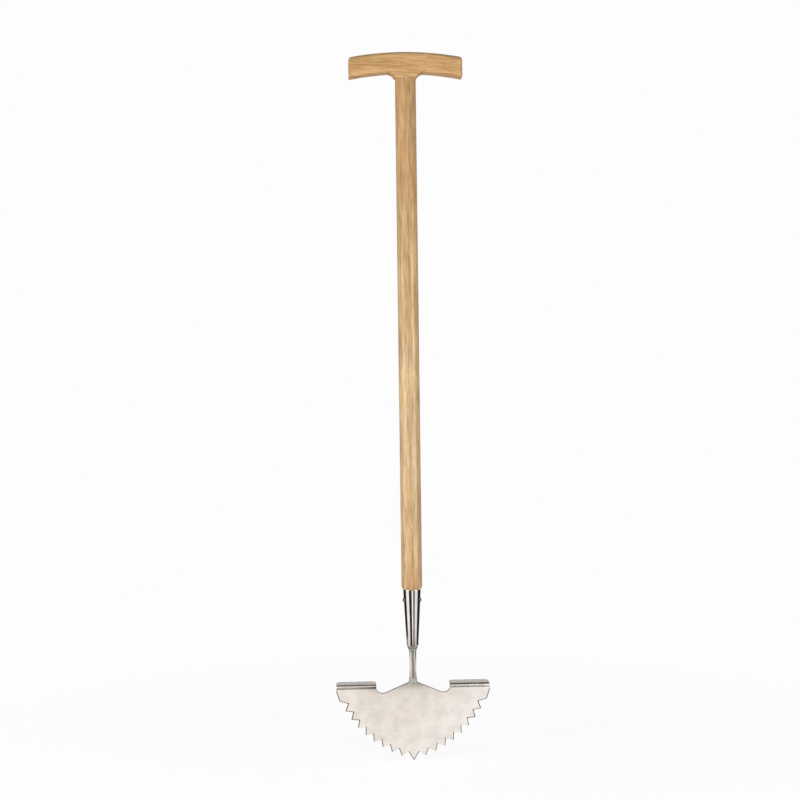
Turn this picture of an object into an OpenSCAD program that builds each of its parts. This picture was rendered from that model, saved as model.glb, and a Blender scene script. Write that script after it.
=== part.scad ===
// Half moon edger: a long-handled tool that cuts a clean border along a lawn.
// It stands upright with the shaft on the Z axis and the blade's front face towards -Y.
// Zero is the tip of the middle tooth. Lengths are in millimetres.

/* [Blade] */
// Width of the blade over its treads
blade_w = 215; // [204:1:226]
// Thickness of the sheet
blade_t = 3; // [2:0.25:4]
// Height of the treads' top faces above the tip of the middle tooth
tread_h = 106; // [90:0.5:125]
// How far the peak that the neck stands on rises above the treads
peak_rise = 3; // [1:0.5:12]
// Length of each tread along the blade
tread_len = 56; // [45:1:62]
// Depth of each tread, from the blade's front face to the tread's back edge
tread_depth = 28.5; // [22:0.5:34]
// Radius of the treads' back corners
tread_corner_r = 8; // [3:0.5:10]
// Inside radius of the fold between blade and tread
fold_r = 3; // [2:0.5:5]
// Radius of the notch that ends each fold
notch_r = 10; // [8:0.5:12]
// Depth of each notch below the start of the fold
notch_drop = 5.5; // [3:0.5:9]
// Distance from the start of the fold down to where each side starts to slant in
side_drop = 3; // [1:0.5:6]
// Distance from the start of the fold down to the end of the cutting edge
heel_drop = 16.5; // [12:0.5:22]
// Distance from each side of the blade in to the end of its cutting edge
heel_inset = 5.9; // [4:0.1:8]
// Length of the edge past that end, out to the corner of the heel
heel_land = 1.8; // [0.6:0.1:3]

/* [Cutting edge] */
// How far past the middle line the centre of each side's arc of tooth tips lies
edge_offset = 30.5; // [20:0.5:40]
// How far the middle tooth reaches below the crossing of the two arcs
middle_drop = 1.6; // [0.5:0.1:3]
// Teeth on each side of the middle tooth
teeth_per_side = 8; // [6:1:10]
// Depth of the gullets between the teeth
tooth_depth = 8; // [6:0.25:9]
// Width of the middle tooth, from gullet to gullet
middle_tooth_w = 15.2; // [12:0.2:18]
// Width of the flat at each tooth's tip
tip_land = 0.6; // [0.3:0.1:1.2]
// Radius at the root of each gullet
root_r = 1.2; // [0.5:0.1:1.8]
// Width of the bevel ground along the front of the teeth
bevel_w = 1.2; // [0.6:0.1:2]
// Depth of that bevel into the sheet
bevel_depth = 1; // [0.5:0.1:1.5]

/* [Neck and welds] */
// Diameter of the round bar between blade and socket
neck_d = 10; // [8:0.5:12]
// Length of the bar in view, with its welds
neck_len = 47; // [35:1:70]
// Length of the bar inside the socket
neck_tail = 12; // [8:1:14]
// Height of the bead under the socket
socket_weld_h = 4.5; // [3:0.5:6]
// Width of that bead at the socket's end
socket_weld_w = 1.4; // [1:0.1:2]
// Height of the bead above the blade's peak
blade_weld_h = 7; // [5:0.5:12]
// Width of that bead at the peak
blade_weld_w = 1.4; // [1:0.1:2.5]
// How far that bead runs down the blade's faces
blade_weld_drop = 2.5; // [1.5:0.5:5]
// Thickness left at the thin edge of each bead
weld_toe = 0.4; // [0.2:0.1:0.6]

/* [Socket] */
// Outside diameter at the rim
socket_top_d = 25; // [23:0.5:26]
// Outside diameter at the foot of the taper
socket_low_d = 16.6; // [15:0.2:19]
// Height of the taper
socket_taper_h = 77; // [65:1:100]
// Height of the rounded end
socket_end_h = 6; // [4:0.5:9]
// Thickness of the socket's wall
socket_wall = 1.5; // [1:0.1:2]

/* [Rivet] */
// Diameter of the rivet's shank
rivet_d = 5; // [4:0.25:6]
// Diameter of the rivet's heads
rivet_head_d = 7.5; // [6.5:0.25:9]
// Height of each domed head
rivet_head_h = 1.6; // [1:0.1:2.5]
// Distance from the rim down to the rivet
rivet_drop = 14.8; // [10:0.2:25]

/* [Shaft] */
// Diameter of the shaft
shaft_d = 29; // [27:0.5:34]
// Length of the shaft in view
shaft_len = 714; // [500:1:900]
// How far the rounded lower end draws in
shaft_end_step = 1.8; // [1:0.1:2.4]
// Height of the rounded lower end
shaft_end_h = 6; // [3:0.5:10]
// Length of the tapered spigot inside the socket
spigot_len = 60; // [45:1:62]
// Diameter of the tenon in the grip
tenon_d = 20; // [16:0.5:22]
// Length of the tenon
tenon_len = 24; // [16:0.5:28]
// Glue line around the wood and slack around the metal fits
fit_gap = 0.1; // [0.05:0.05:0.2]

/* [Grip] */
// Width of the crossbar
grip_w = 159; // [130:1:180]
// Height of the crossbar
grip_h = 27; // [25:0.5:32]
// Depth of the crossbar
grip_depth = 30; // [29.5:0.5:34]
// Radius of the crossbar's arched top
grip_bow_r = 430; // [350:5:600]
// Radius of the crossbar's long edges and upright end edges
grip_edge_r = 6; // [3:0.5:9]
// Radius of the crossbar's upper end corners, seen from the front
grip_corner_r = 3.5; // [3:0.5:9]
// Height of the stem that flares out from the shaft into the crossbar
grip_stem_h = 8.8; // [6:0.2:12]
// Radius of the webs between the stem and the crossbar, seen from the front
grip_web_r = 11; // [9:0.5:18]

/* [Hidden] */
$fn = 240;

// How far a cut runs past the face that it opens
overrun = 1;
// How fast the stem widens from the shaft, as a share of its height
stem_flare_share = 2.5;
// Straight stretches in the arc at the root of a gullet, and in the arc of a notch
root_steps = 6;
arc_steps = 16;

// Levels along the tool, from the middle tooth up
fold_z = tread_h - blade_t - fold_r;
side_z = fold_z - side_drop;
peak_z = tread_h + peak_rise;
socket_end_z = peak_z + neck_len;
socket_low_z = socket_end_z + socket_end_h;
rim_z = socket_low_z + socket_taper_h;
rivet_z = rim_z - rivet_drop;
seam_z = rim_z + shaft_len;
grip_under_z = seam_z + grip_stem_h;
grip_top_z = grip_under_z + grip_h;
grip_bow_z = grip_top_z - grip_bow_r;

// Round parts
neck_r = neck_d / 2;
weld_r = neck_r + blade_weld_w;
socket_low_r = socket_low_d / 2;
socket_end_r = neck_r + socket_weld_w;
shaft_r = shaft_d / 2;
tread_x = blade_w / 2 - tread_len;

// Cutting edge: each side's arc runs through the end of its edge and crosses the other arc
// on the middle line. Angles run from straight down, about the centre of the arc.
heel = [blade_w / 2 - heel_inset, fold_z - heel_drop];
edge_z = (norm(heel) ^ 2 + 2 * edge_offset * heel.x - middle_drop ^ 2) / 2 / (heel.y - middle_drop);
edge_r = norm([edge_offset, edge_z - middle_drop]);
gullet_r = edge_r - tooth_depth;
first_gullet = asin((edge_offset + middle_tooth_w / 2) / gullet_r);
heel_angle = asin((edge_offset + heel.x) / edge_r);
tooth_step = (heel_angle - first_gullet) / (teeth_per_side + 0.5);
land_angle = asin(tip_land / 2 / edge_r);

// Corner of the heel, on the line of the last gullet's outer flank
last_flank = outer_tip(teeth_per_side) - gullet_root(teeth_per_side);
heel_corner = outer_tip(teeth_per_side) + heel_land * unit(last_flank);

// Notch beside the tread, and the slope of the edge that runs down to it from the peak
peak = [weld_r, peak_z];
notch_rise = notch_r - notch_drop;
notch = [tread_x - sqrt(notch_r ^ 2 - notch_rise ^ 2), fold_z + notch_rise];
slope_angle = atan2(notch.y - peak.y, notch.x - peak.x) - asin(notch_r / norm(notch - peak));

// Radius of the arc that leaves a wall smoothly and draws in by step over the height
function arc_r(step, height) = (step ^ 2 + height ^ 2) / (2 * step);

// Outside radius of the socket's taper at a level
function socket_r(z) =
    socket_low_r + (socket_top_d / 2 - socket_low_r) * (z - socket_low_z) / socket_taper_h;

// Point in the blade's plane at a radius and angle about the right-hand arc's centre
function edge_point(r, angle) = [r * sin(angle) - edge_offset, edge_z - r * cos(angle)];

// Root of a gullet and the tips on both sides of it, counted out from the middle tooth
function gullet_root(k) = edge_point(gullet_r, first_gullet + k * tooth_step);
function inner_tip(k) =
    k == 0
        ? [tip_land / 2, 0]
        : edge_point(edge_r, first_gullet + (k - 0.5) * tooth_step + land_angle);
function outer_tip(k) = edge_point(edge_r, first_gullet + (k + 0.5) * tooth_step - land_angle);

function unit(v) = v / norm(v);
function gullet_axis(k) =
    unit(unit(inner_tip(k) - gullet_root(k)) + unit(outer_tip(k) - gullet_root(k)));
function gullet_half_angle(k) = acos(unit(inner_tip(k) - gullet_root(k)) * gullet_axis(k));

// Angle that turns straight up into the way a gullet opens
function gullet_turn(k) = atan2(gullet_axis(k).y, gullet_axis(k).x) - 90;

// Points along an arc about a centre, between two angles
function arc(centre, radius, from, to, steps) = [
    for (i = [0 : steps])
        let (angle = from + i * (to - from) / steps)
            centre + radius * [cos(angle), sin(angle)]
];

// Outline of a gullet, from the tip on its inner side round its root to the tip on its outer side
function gullet_outline(k) =
    let (half = gullet_half_angle(k), turn = gullet_turn(k))
        concat(
            [inner_tip(k)],
            arc(
                gullet_root(k) + gullet_axis(k) * root_r / sin(half),
                root_r, turn - half, turn + half - 180, root_steps
            ),
            [outer_tip(k)]
        );

// Right-hand half of the blade's flat outline: teeth, heel, side, fold, notch and the slope to the peak
function half_outline() = concat(
    [for (k = [0 : teeth_per_side]) each gullet_outline(k)],
    [heel_corner, [blade_w / 2, side_z], [blade_w / 2, fold_z]],
    arc(notch, notch_r, -asin(notch_rise / notch_r), slope_angle - 90, arc_steps),
    [peak]
);

// Draws both the right-hand child and its mirror image
module both_sides() {
    children();
    mirror([1, 0, 0]) children();
}

// Stands a shape drawn in X and Z upright, with its thickness centred on the blade's plane
module upright(thickness) {
    translate([0, thickness / 2, 0])
        rotate([90, 0, 0])
            linear_extrude(thickness) children();
}

// Runs a shape drawn in Y and Z along X from a start
module along_x(start, length) {
    translate([start, 0, 0])
        rotate([90, 0, 90])
            linear_extrude(length) children();
}

module rounded_rectangle(width, height, radius) {
    square([width - 2 * radius, height], center = true);
    square([width, height - 2 * radius], center = true);
    for (x = [-1, 1], y = [-1, 1])
        translate([x * (width / 2 - radius), y * (height / 2 - radius)]) circle(radius);
}

// Half section of a rod's end that draws in by step over the height, with its thick end on top
module rounded_end(radius, step, height) {
    bend = arc_r(step, height);
    intersection() {
        square([radius, height]);
        translate([radius - bend, height]) circle(bend);
    }
}

// Half section of a hollow weld bead on a bar, thick at the top and thin at the bottom
module weld_bead(bar_r, width, height) {
    bend = arc_r(width - weld_toe, height);
    translate([bar_r, 0])
        difference() {
            square([width, height]);
            translate([weld_toe + bend, 0]) circle(bend);
        }
}

// Sheet's flat outline, with both halves in one ring of points
module blade_outline() {
    right = half_outline();
    left = [for (i = [len(right) - 1 : -1 : 0]) [-right[i].x, right[i].y]];
    polygon(concat(right, left));
}

// All that lies on the gullet's side of one flank's bevel, seen from the gullet's sharp root
module flank_space(half) {
    reach = 3 * tooth_depth;
    rotate(-half)
        rotate([0, atan2(bevel_w, bevel_depth), 0])
            translate([-reach, -reach, -reach]) cube([reach, 2 * reach, 2 * reach]);
}

// Wedge that grinds the bevels of both flanks of a gullet from the front
module bevel_cut(k) {
    half = gullet_half_angle(k);
    translate(gullet_root(k))
        translate([0, 0, blade_t / 2 - bevel_depth])
            rotate(gullet_turn(k))
                intersection() {
                    flank_space(half);
                    mirror([1, 0, 0]) flank_space(half);
                }
}

// Tread and its fold, on the right-hand side
module tread() {
    fold_y = blade_t / 2 + fold_r;
    flat = tread_depth - blade_t - fold_r;
    along_x(tread_x, tread_len)
        translate([fold_y, fold_z])
            intersection() {
                difference() {
                    circle(fold_r + blade_t);
                    circle(fold_r);
                }
                translate([-fold_r - blade_t, 0]) square(fold_r + blade_t);
            }
    translate([tread_x, fold_y, tread_h - blade_t])
        linear_extrude(blade_t) {
            square([tread_len, flat - tread_corner_r]);
            translate([tread_corner_r, 0]) square([tread_len - 2 * tread_corner_r, flat]);
            for (x = [tread_corner_r, tread_len - tread_corner_r])
                translate([x, flat - tread_corner_r]) circle(tread_corner_r);
        }
}

module blade() {
    color("lightsteelblue") {
        difference() {
            upright(blade_t) blade_outline();
            both_sides()
                rotate([90, 0, 0])
                    for (k = [0 : teeth_per_side]) bevel_cut(k);
        }
        both_sides() tread();
    }
}

module neck() {
    color("silver")
        translate([0, 0, peak_z]) cylinder(h = neck_len + neck_tail, r = neck_r);
}

module socket_weld() {
    color("darkgray")
        translate([0, 0, socket_end_z - socket_weld_h])
            rotate_extrude() weld_bead(neck_r, socket_weld_w, socket_weld_h);
}

// Flare round the neck's foot, with a bead down the front and back of the blade
module blade_weld() {
    color("darkgray") {
        translate([0, 0, peak_z])
            rotate_extrude()
                translate([0, blade_weld_h])
                    mirror([0, 1]) weld_bead(neck_r, blade_weld_w, blade_weld_h);
        intersection() {
            translate([0, 0, peak_z - blade_weld_drop]) cylinder(h = blade_weld_drop, r = weld_r);
            along_x(-weld_r - overrun, 2 * (weld_r + overrun))
                both_sides()
                    polygon([
                        [blade_t / 2, peak_z],
                        [weld_r + weld_toe, peak_z],
                        [blade_t / 2 + weld_toe, peak_z - blade_weld_drop],
                        [blade_t / 2, peak_z - blade_weld_drop]
                    ]);
        }
    }
}

// Outside of the socket, as a solid
module socket_body() {
    translate([0, 0, socket_low_z])
        cylinder(h = socket_taper_h, r1 = socket_low_r, r2 = socket_top_d / 2);
    translate([0, 0, socket_end_z])
        rotate_extrude() rounded_end(socket_low_r, socket_low_r - socket_end_r, socket_end_h);
}

// Hole across the socket and the spigot for the rivet
module rivet_hole() {
    translate([0, 0, rivet_z])
        rotate([0, 90, 0]) cylinder(h = 2 * socket_top_d, d = rivet_d + 2 * fit_gap, center = true);
}

module socket() {
    floor_z = socket_low_z + socket_wall;
    color("gainsboro")
        difference() {
            socket_body();
            translate([0, 0, floor_z])
                cylinder(
                    h = rim_z + overrun - floor_z,
                    r1 = socket_r(floor_z) - socket_wall,
                    r2 = socket_r(rim_z + overrun) - socket_wall
                );
            translate([0, 0, socket_end_z - overrun])
                cylinder(h = floor_z + overrun - socket_end_z + overrun, r = neck_r + fit_gap);
            rivet_hole();
        }
}

// One domed head on the socket's right-hand side, formed to the socket on its underside
module rivet_head() {
    head_r = rivet_head_d / 2;
    dome_r = arc_r(rivet_head_h, head_r);
    difference() {
        translate([socket_r(rivet_z), 0, rivet_z])
            rotate([0, 90, 0])
                rotate_extrude()
                    intersection() {
                        translate([0, rivet_head_h - dome_r]) circle(dome_r);
                        translate([0, -rivet_head_h]) square([head_r, 2 * rivet_head_h]);
                    }
        socket_body();
    }
}

module socket_rivet() {
    color("whitesmoke") {
        translate([0, 0, rivet_z])
            rotate([0, 90, 0])
                cylinder(h = 2 * socket_r(rivet_z) + rivet_head_h, d = rivet_d, center = true);
        both_sides() rivet_head();
    }
}

module shaft() {
    spigot_z = rim_z - spigot_len;
    spigot_gap = socket_wall + fit_gap;
    color("burlywood")
        difference() {
            union() {
                translate([0, 0, seam_z]) cylinder(h = tenon_len, d = tenon_d);
                translate([0, 0, rim_z + shaft_end_h])
                    cylinder(h = shaft_len - shaft_end_h, r = shaft_r);
                translate([0, 0, rim_z])
                    rotate_extrude() rounded_end(shaft_r, shaft_end_step, shaft_end_h);
                translate([0, 0, spigot_z])
                    cylinder(
                        h = spigot_len,
                        r1 = socket_r(spigot_z) - spigot_gap,
                        r2 = socket_r(rim_z) - spigot_gap
                    );
            }
            rivet_hole();
        }
}

// Corner left outside the rounded upper end of the crossbar, drawn about the centre of its arc
module end_corner(lean) {
    reach = 2 * grip_corner_r;
    difference() {
        polygon([[0, 0], [reach, 0], [reach, reach], reach * [sin(lean), cos(lean)]]);
        circle(grip_corner_r);
    }
}

// Arched bar with rounded long edges and rounded ends
module crossbar() {
    half_w = grip_w / 2;
    span = asin((half_w + overrun) / (grip_bow_r - grip_h));
    corner_x = half_w - grip_corner_r;
    lean = asin(corner_x / (grip_bow_r - grip_corner_r));
    difference() {
        intersection() {
            translate([0, 0, grip_bow_z])
                rotate([90, 0, 0])
                    rotate(90 - span)
                        rotate_extrude(angle = 2 * span)
                            translate([grip_bow_r - grip_h / 2, 0])
                                rounded_rectangle(grip_h, grip_depth, grip_edge_r);
            translate([0, 0, grip_bow_z])
                linear_extrude(grip_bow_r + overrun)
                    rounded_rectangle(grip_w, grip_depth + overrun / 4, grip_edge_r);
        }
        both_sides()
            translate([corner_x, 0, grip_bow_z + (grip_bow_r - grip_corner_r) * cos(lean)])
                upright(grip_depth + 2 * overrun) end_corner(lean);
    }
}

// Stem just inside the crossbar's faces, round at the shaft and webbed to the crossbar's underside
module grip_stem() {
    stem_h = grip_stem_h + grip_h / 2;
    web_z = grip_stem_h - grip_web_r;
    web_x = shaft_r + overrun / 2 + sqrt(pow(grip_web_r, 2) - pow(web_z, 2));
    translate([0, 0, seam_z])
        intersection() {
            cylinder(h = stem_h, r1 = shaft_r, r2 = shaft_r + stem_flare_share * stem_h);
            upright(grip_depth - overrun / 2)
                difference() {
                    translate([-web_x, 0]) square([2 * web_x, stem_h]);
                    both_sides() translate([web_x, web_z]) circle(grip_web_r);
                }
        }
}

module t_grip() {
    color("peru")
        difference() {
            union() {
                crossbar();
                grip_stem();
            }
            translate([0, 0, seam_z - overrun])
                cylinder(h = tenon_len + fit_gap + overrun, d = tenon_d + 2 * fit_gap);
        }
}

t_grip();
shaft();
socket();
socket_rivet();
neck();
socket_weld();
blade();
blade_weld();
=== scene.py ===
"""Half moon edger: the finished pieces, finishes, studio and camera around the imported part.

Everything is in metres, in the part's own frame: the shaft on the Z axis, the blade's front
face towards -Y, and zero at the tip of the middle tooth.
"""

import logging
import math
from dataclasses import dataclass
from enum import Enum
from typing import Any, Callable, Sequence

import bmesh
import bpy
from mathutils import Matrix, Vector


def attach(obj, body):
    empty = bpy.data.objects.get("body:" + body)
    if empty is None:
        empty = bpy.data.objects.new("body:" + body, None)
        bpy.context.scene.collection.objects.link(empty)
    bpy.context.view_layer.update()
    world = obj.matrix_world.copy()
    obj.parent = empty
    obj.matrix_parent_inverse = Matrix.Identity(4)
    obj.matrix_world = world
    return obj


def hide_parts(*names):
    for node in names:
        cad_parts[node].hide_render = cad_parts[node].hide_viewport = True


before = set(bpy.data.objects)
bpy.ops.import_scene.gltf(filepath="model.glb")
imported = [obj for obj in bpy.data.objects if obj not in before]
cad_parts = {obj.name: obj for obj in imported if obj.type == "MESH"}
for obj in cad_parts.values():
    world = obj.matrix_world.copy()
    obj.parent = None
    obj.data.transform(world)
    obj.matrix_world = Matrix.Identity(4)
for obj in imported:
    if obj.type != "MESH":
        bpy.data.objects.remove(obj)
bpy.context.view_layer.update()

LOG = logging.getLogger("half_moon_edger")
MM = 0.001
BODY = "root"
# Name of the mark on the blade's faces that get painted edge shade.
EDGE_SHADE = "ground"

# How close points merge, in millimetres, and limits of angles, in degrees.
TOUCH = 0.01
SOLID_TOUCH = 0.002
FLAT_ANGLE = 0.2
SMOOTH_ANGLE = 30.0
ALL_ROUND = 180.0

Span = tuple[float, float]
Place = tuple[float, float, float]
Profile = list[Span]
Colour = tuple[float, float, float, float]
Stops = tuple[tuple[float, Colour], ...]
Sides = list[tuple[Vector, Vector]]
Obj = bpy.types.Object
Socket = bpy.types.NodeSocket

RISE: Span = (0.0, 1.0)
FALL: Span = (1.0, 0.0)
WHITE: Colour = (1.0, 1.0, 1.0, 1.0)


class Element(Enum):
    """Kinds of mesh element that a modelling step can pick."""

    VERT = "verts"
    EDGE = "edges"
    FACE = "faces"


class Grain(Enum):
    """Way that the grain of a wooden piece runs, as the turn that lays it along Z."""

    UPRIGHT = (0.0, 0.0, 0.0)
    ACROSS = (0.0, math.radians(87.5), math.radians(1.5))


class Bench:
    """Modelling steps on one piece at a time, as they are done by hand."""

    @staticmethod
    def clear() -> None:
        """Leave edit mode and deselect everything."""
        active = bpy.context.view_layer.objects.active
        if active and active.mode != "OBJECT":
            bpy.ops.object.mode_set(mode="OBJECT")
        bpy.ops.object.select_all(action="DESELECT")

    @staticmethod
    def take(piece: Obj) -> None:
        """Make a piece the only selected one.

        Args:
            piece: Piece that is worked on next.
        """
        Bench.clear()
        piece.select_set(True)
        bpy.context.view_layer.objects.active = piece

    @staticmethod
    def added(name: str) -> Obj:
        """Name the primitive that was just added and put its place into its mesh.

        Args:
            name: Name of the new piece.

        Returns:
            The new piece, at the origin.
        """
        piece = bpy.context.view_layer.objects.active
        piece.name = name
        piece.data.name = name
        bpy.ops.object.transform_apply(location=True, rotation=True, scale=True)
        return piece

    @staticmethod
    def edit(piece: Obj, element: Element) -> None:
        """Open a piece in edit mode with one kind of element to pick.

        Args:
            piece: Piece that is opened.
            element: Kind of element that is picked.
        """
        Bench.take(piece)
        bpy.ops.object.mode_set(mode="EDIT")
        bpy.ops.mesh.select_mode(type=element.name)

    @staticmethod
    def pick(piece: Obj, element: Element, test: Callable[[Any], bool]) -> None:
        """Select the elements of the piece in edit mode that meet a test.

        Args:
            piece: Piece that is open in edit mode.
            element: Kind of element that is picked.
            test: Says whether one element is picked.
        """
        bpy.ops.mesh.select_mode(type=element.name)
        bpy.ops.mesh.select_all(action="DESELECT")
        mesh = bmesh.from_edit_mesh(piece.data)
        for item in [item for item in getattr(mesh, element.value) if test(item)]:
            item.select_set(True)
        mesh.select_flush_mode()
        bmesh.update_edit_mesh(piece.data)

    @staticmethod
    def outwards() -> None:
        """Turn all faces of the piece in edit mode outwards and leave edit mode."""
        bpy.ops.mesh.select_all(action="SELECT")
        bpy.ops.mesh.normals_make_consistent(inside=False)
        bpy.ops.object.mode_set(mode="OBJECT")

    @staticmethod
    def turn(name: str, profile: Profile, sides: int, ring: bool = False) -> Obj:
        """Turn a round piece: a circle is extruded and resized along a profile.

        Args:
            name: Name of the piece.
            profile: Radius and level of each ring, in millimetres.
            sides: How many sides each ring has.
            ring: Whether the profile comes back to its start, as a hollow piece's does.

        Returns:
            The closed piece.
        """
        Bench.clear()
        last_r, last_z = profile[0]
        bpy.ops.mesh.primitive_circle_add(
            vertices=sides, radius=last_r * MM, fill_type="NOTHING", location=(0, 0, last_z * MM)
        )
        piece = Bench.added(name)
        Bench.edit(piece, Element.EDGE)
        bpy.ops.mesh.select_all(action="SELECT")
        for radius, level in profile[1:]:
            bpy.ops.mesh.extrude_region_move(
                TRANSFORM_OT_translate={"value": (0, 0, (level - last_z) * MM)}
            )
            share = radius / last_r
            bpy.ops.transform.resize(value=(share, share, 1), center_override=(0, 0, level * MM))
            last_r, last_z = radius, level
        bpy.ops.mesh.select_all(action="SELECT")
        if ring:
            bpy.ops.mesh.remove_doubles(threshold=TOUCH * MM)
        else:
            bpy.ops.mesh.fill_holes(sides=0)
        Bench.outwards()
        return piece

    @staticmethod
    def modify(piece: Obj, kind: str, **settings: Any) -> None:
        """Add a modifier with its settings and apply it.

        Args:
            piece: Piece that is worked on.
            kind: Blender's name for the kind of modifier.
            settings: Values of the modifier.
        """
        Bench.take(piece)
        modifier = piece.modifiers.new(kind.title(), kind)
        for key, value in settings.items():
            setattr(modifier, key, value)
        bpy.ops.object.modifier_apply(modifier=modifier.name)

    @staticmethod
    def cut(piece: Obj, tool: Obj, operation: str) -> None:
        """Cut a piece with another one, or join them, and put the other one away.

        Args:
            piece: Piece that is worked on.
            tool: Piece that cuts or joins it.
            operation: Blender's name for what is done.
        """
        Bench.modify(piece, "BOOLEAN", operation=operation, object=tool, solver="EXACT")
        bpy.data.objects.remove(tool, do_unlink=True)

    @staticmethod
    def copy_of(node: str, name: str) -> Obj:
        """Copy a solid's mesh as a new piece, with its loose triangles merged into flat faces.

        Args:
            node: Name of the solid.
            name: Name of the new piece.

        Returns:
            The new piece, with no material.
        """
        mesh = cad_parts[node].data.copy()
        mesh.name = name
        mesh.materials.clear()
        piece = bpy.data.objects.new(name, mesh)
        bpy.context.scene.collection.objects.link(piece)
        Bench.take(piece)
        bpy.ops.mesh.customdata_custom_splitnormals_clear()
        Bench.edit(piece, Element.VERT)
        bpy.ops.mesh.select_all(action="SELECT")
        bpy.ops.mesh.remove_doubles(threshold=SOLID_TOUCH * MM)
        bpy.ops.mesh.dissolve_limited(angle_limit=math.radians(FLAT_ANGLE))
        Bench.outwards()
        return piece

    @staticmethod
    def smooth(piece: Obj, angle: float = SMOOTH_ANGLE) -> None:
        """Shade a piece smooth.

        Args:
            piece: Piece that is shaded.
            angle: Angle between faces, in degrees, up to which their edge is smooth.
        """
        Bench.take(piece)
        bpy.ops.object.shade_smooth_by_angle(angle=math.radians(angle))
        Bench.clear()


class Tree:
    """Places and links the nodes of one material, group or world."""

    def __init__(self, tree: bpy.types.NodeTree) -> None:
        """Take hold of a node tree."""
        self.tree = tree

    @classmethod
    def blank(cls, owner: bpy.types.Material | bpy.types.World) -> "Tree":
        """Give a material or a world an empty tree.

        Args:
            owner: Material or world.

        Returns:
            Its tree.
        """
        owner.use_nodes = True
        owner.node_tree.nodes.clear()
        return cls(owner.node_tree)

    def add(self, kind: str, inputs: dict[Any, Any] | None = None, **settings: Any) -> Any:
        """Place a node.

        Args:
            kind: Blender's name for the node.
            inputs: Value or linked output of each input, by name or number.
            settings: Other settings of the node.

        Returns:
            The new node.
        """
        node = self.tree.nodes.new(kind)
        for key, value in settings.items():
            setattr(node, key, value)
        self.feed(node, inputs or {})
        return node

    def feed(self, node: Any, inputs: dict[Any, Any]) -> None:
        """Link or set the inputs of a node.

        Args:
            node: Node that is fed.
            inputs: Value or linked output of each input, by name or number.
        """
        for key, value in inputs.items():
            if isinstance(value, Socket):
                self.tree.links.new(value, node.inputs[key])
            else:
                node.inputs[key].default_value = value

    def math(
        self, operation: str, first: Any, second: Any = 0.0, add: Any = 0.0, clamp: bool = False
    ) -> Socket:
        """Place a Math node.

        Args:
            operation: Blender's name for what is worked out.
            first: First value or output.
            second: Second value or output.
            add: Third value or output, where the operation has one.
            clamp: Whether the result is held between 0 and 1.

        Returns:
            The result.
        """
        node = self.add("ShaderNodeMath", {0: first, 1: second, 2: add}, operation=operation)
        node.use_clamp = clamp
        return node.outputs[0]

    def remap(self, value: Socket, span: Span, to: Span = RISE) -> Socket:
        """Map a value from one span to another, held at both ends.

        Args:
            value: Value that is mapped.
            span: Start and end of its span.
            to: Start and end of the new span.

        Returns:
            The mapped value.
        """
        labels = ("From Min", "From Max", "To Min", "To Max")
        node = self.add(
            "ShaderNodeMapRange",
            {"Value": value, **dict(zip(labels, span + to))},
            interpolation_type="SMOOTHSTEP",
        )
        return node.outputs["Result"]

    def mix(self, share: Any, first: Any, second: Any, blend: str = "MIX") -> Socket:
        """Place a Mix node for two colours, its inputs 6 and 7, and return the mixed colour."""
        node = self.add(
            "ShaderNodeMix", {0: share, 6: first, 7: second}, data_type="RGBA", blend_type=blend
        )
        return node.outputs[2]

    def stretch(self, vector: Socket, scale: Place) -> Socket:
        """Scale a vector along each axis and return it."""
        node = self.add("ShaderNodeVectorMath", {0: vector, 1: scale}, operation="MULTIPLY")
        return node.outputs[0]

    def noise(self, vector: Socket, scale: Any, detail: float, rough: float = 0.5) -> Socket:
        """Place a Noise node and return its value, from 0 to 1."""
        node = self.add(
            "ShaderNodeTexNoise",
            {"Vector": vector, "Scale": scale, "Detail": detail, "Roughness": rough},
        )
        return node.outputs["Fac"]

    def drawn(
        self, vector: Socket, squeeze: float, scale: Any, detail: float, rough: float = 0.5
    ) -> Socket:
        """Place a Noise node that is drawn out along Z and return its value, from 0 to 1."""
        return self.noise(self.stretch(vector, (1.0, 1.0, squeeze)), scale, detail, rough)

    def ramp(self, value: Socket, stops: Sequence[tuple[float, Colour]]) -> Socket:
        """Place a Color Ramp.

        Args:
            value: Value that the colour follows.
            stops: Place and colour of each stop, in rising order.

        Returns:
            The colour.
        """
        node = self.add("ShaderNodeValToRGB", {"Fac": value})
        band = node.color_ramp.elements
        while len(band) < len(stops):
            band.new(0.5)
        for element, (place, colour) in zip(band, stops):
            element.position = place
            element.color = colour
        return node.outputs["Color"]

    def tone(self, colour: Socket, value: Socket, stops: Stops) -> Socket:
        """Tint a colour along a value.

        Args:
            colour: Colour that is tinted.
            value: Value that the tint follows.
            stops: Value and tint of each stop, in rising order.

        Returns:
            The tinted colour.
        """
        low, high = stops[0][0], stops[-1][0]
        share = self.math("DIVIDE", self.math("SUBTRACT", value, low), high - low, clamp=True)
        tint = self.ramp(share, [((place - low) / (high - low), shade) for place, shade in stops])
        return self.mix(1.0, colour, tint, "MULTIPLY")

    def bump(self, height: Socket, strength: float, distance: float) -> Socket:
        """Place a Bump node and return its normal."""
        node = self.add(
            "ShaderNodeBump", {"Height": height, "Strength": strength, "Distance": distance}
        )
        return node.outputs["Normal"]


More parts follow.
